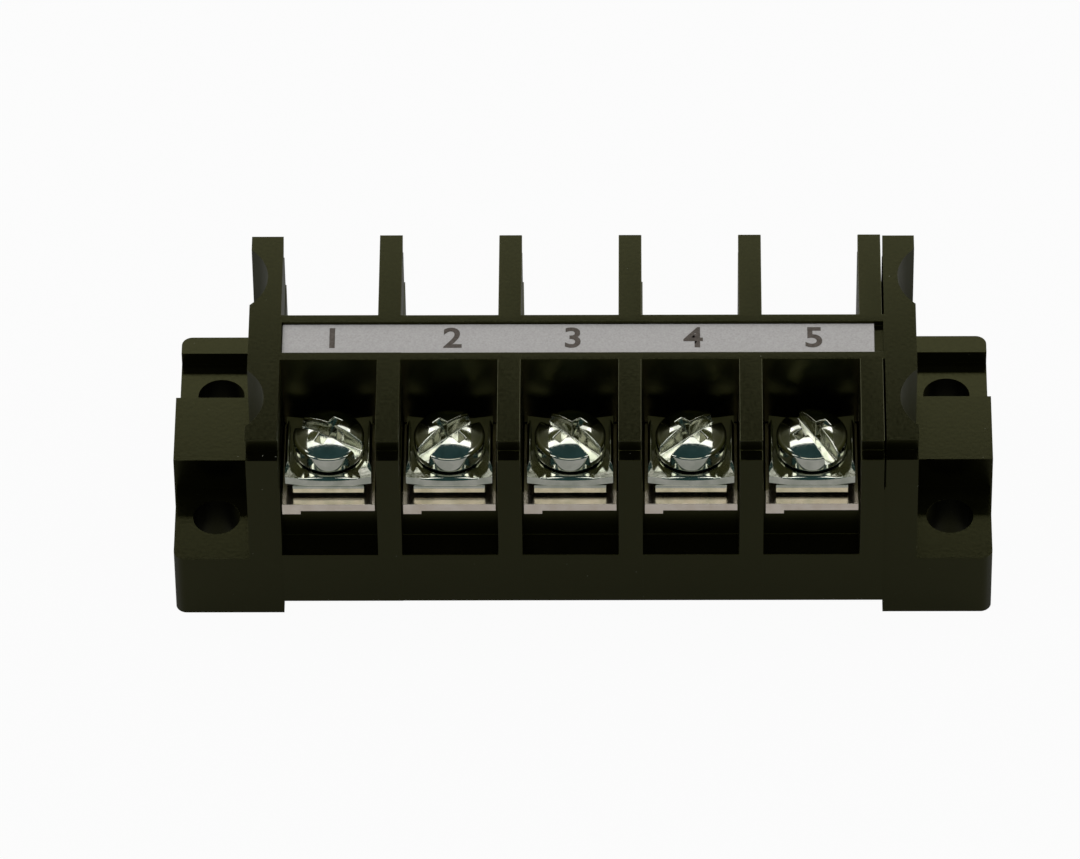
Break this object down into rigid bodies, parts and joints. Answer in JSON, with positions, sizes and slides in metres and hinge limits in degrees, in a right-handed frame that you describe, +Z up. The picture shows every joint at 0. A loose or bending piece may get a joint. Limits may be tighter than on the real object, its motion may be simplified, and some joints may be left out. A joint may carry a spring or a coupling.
{
  "type": "barrier terminal strip",
  "caption": "Black barrier terminal strip: pole modules with front screw clamps and rear push-on tabs between flanged end pieces, and a marker strip on top.",
  "frame": {"origin": "centre of the four mounting holes, on the mounting surface under the end pieces", "axes": "+X along the row from the first pole to the last, +Y towards the rear, where the flanges carry a rim, +Z up away from the mounting surface"},
  "size_m": [0.089, 0.0326, 0.0268],
  "materials": {
    "black_moulding": "fine moulded satin",
    "zinc_plated_steel": "bright zinc plated",
    "plated_conductor": "tin plated",
    "marker": "matt printed card"
  },
  "bodies": {
    "block": {"end_piece_left": "black_moulding", "end_piece_right": "black_moulding", "pole_module_1": "black_moulding", "pole_module_2": "black_moulding", "pole_module_3": "black_moulding", "pole_module_4": "black_moulding", "pole_module_5": "black_moulding", "conductor_bar_1": "plated_conductor", "conductor_bar_2": "plated_conductor", "conductor_bar_3": "plated_conductor", "conductor_bar_4": "plated_conductor", "conductor_bar_5": "plated_conductor", "marker_strip": "marker", "tie_rod": "zinc_plated_steel", "tie_nut_left": "zinc_plated_steel", "tie_nut_right": "zinc_plated_steel"},
    "clamp_1": {"clamp_washer_1": "zinc_plated_steel", "pressure_plate_1": "zinc_plated_steel"},
    "screw_1": {"clamp_screw_1": "zinc_plated_steel"},
    "clamp_2": {"clamp_washer_2": "zinc_plated_steel", "pressure_plate_2": "zinc_plated_steel"},
    "screw_2": {"clamp_screw_2": "zinc_plated_steel"},
    "clamp_3": {"clamp_washer_3": "zinc_plated_steel", "pressure_plate_3": "zinc_plated_steel"},
    "screw_3": {"clamp_screw_3": "zinc_plated_steel"},
    "clamp_4": {"clamp_washer_4": "zinc_plated_steel", "pressure_plate_4": "zinc_plated_steel"},
    "screw_4": {"clamp_screw_4": "zinc_plated_steel"},
    "clamp_5": {"clamp_washer_5": "zinc_plated_steel", "pressure_plate_5": "zinc_plated_steel"},
    "screw_5": {"clamp_screw_5": "zinc_plated_steel"}
  },
  "joints": [
    {"name": "clamp_lift_1", "type": "slide", "parent": "block", "child": "clamp_1", "axis": [0, 0, 1], "range_m": [-0.00038, 0.0024]},
    {"name": "screw_turn_1", "type": "hinge", "parent": "clamp_1", "child": "screw_1", "pos_m": [-0.0273, -0.0098, 0.0197], "axis": [0, 0, 1], "range_deg": [-196, 1235]},
    {"name": "clamp_lift_2", "type": "slide", "parent": "block", "child": "clamp_2", "axis": [0, 0, 1], "range_m": [-0.00038, 0.0024]},
    {"name": "screw_turn_2", "type": "hinge", "parent": "clamp_2", "child": "screw_2", "pos_m": [-0.0143, -0.0098, 0.0197], "axis": [0, 0, 1], "range_deg": [-196, 1235]},
    {"name": "clamp_lift_3", "type": "slide", "parent": "block", "child": "clamp_3", "axis": [0, 0, 1], "range_m": [-0.00038, 0.0024]},
    {"name": "screw_turn_3", "type": "hinge", "parent": "clamp_3", "child": "screw_3", "pos_m": [-0.0013, -0.0098, 0.0197], "axis": [0, 0, 1], "range_deg": [-196, 1235]},
    {"name": "clamp_lift_4", "type": "slide", "parent": "block", "child": "clamp_4", "axis": [0, 0, 1], "range_m": [-0.00038, 0.0024]},
    {"name": "screw_turn_4", "type": "hinge", "parent": "clamp_4", "child": "screw_4", "pos_m": [0.0117, -0.0098, 0.0197], "axis": [0, 0, 1], "range_deg": [-196, 1235]},
    {"name": "clamp_lift_5", "type": "slide", "parent": "block", "child": "clamp_5", "axis": [0, 0, 1], "range_m": [-0.00038, 0.0024]},
    {"name": "screw_turn_5", "type": "hinge", "parent": "clamp_5", "child": "screw_5", "pos_m": [0.0247, -0.0098, 0.0197], "axis": [0, 0, 1], "range_deg": [-196, 1235]}
  ],
  "couplings": [
    {"joint": "screw_turn_1", "follows": "clamp_lift_1", "rad_per_m": 8975.9},
    {"joint": "screw_turn_2", "follows": "clamp_lift_2", "rad_per_m": 8975.9},
    {"joint": "screw_turn_3", "follows": "clamp_lift_3", "rad_per_m": 8975.9},
    {"joint": "screw_turn_4", "follows": "clamp_lift_4", "rad_per_m": 8975.9},
    {"joint": "screw_turn_5", "follows": "clamp_lift_5", "rad_per_m": 8975.9}
  ]
}
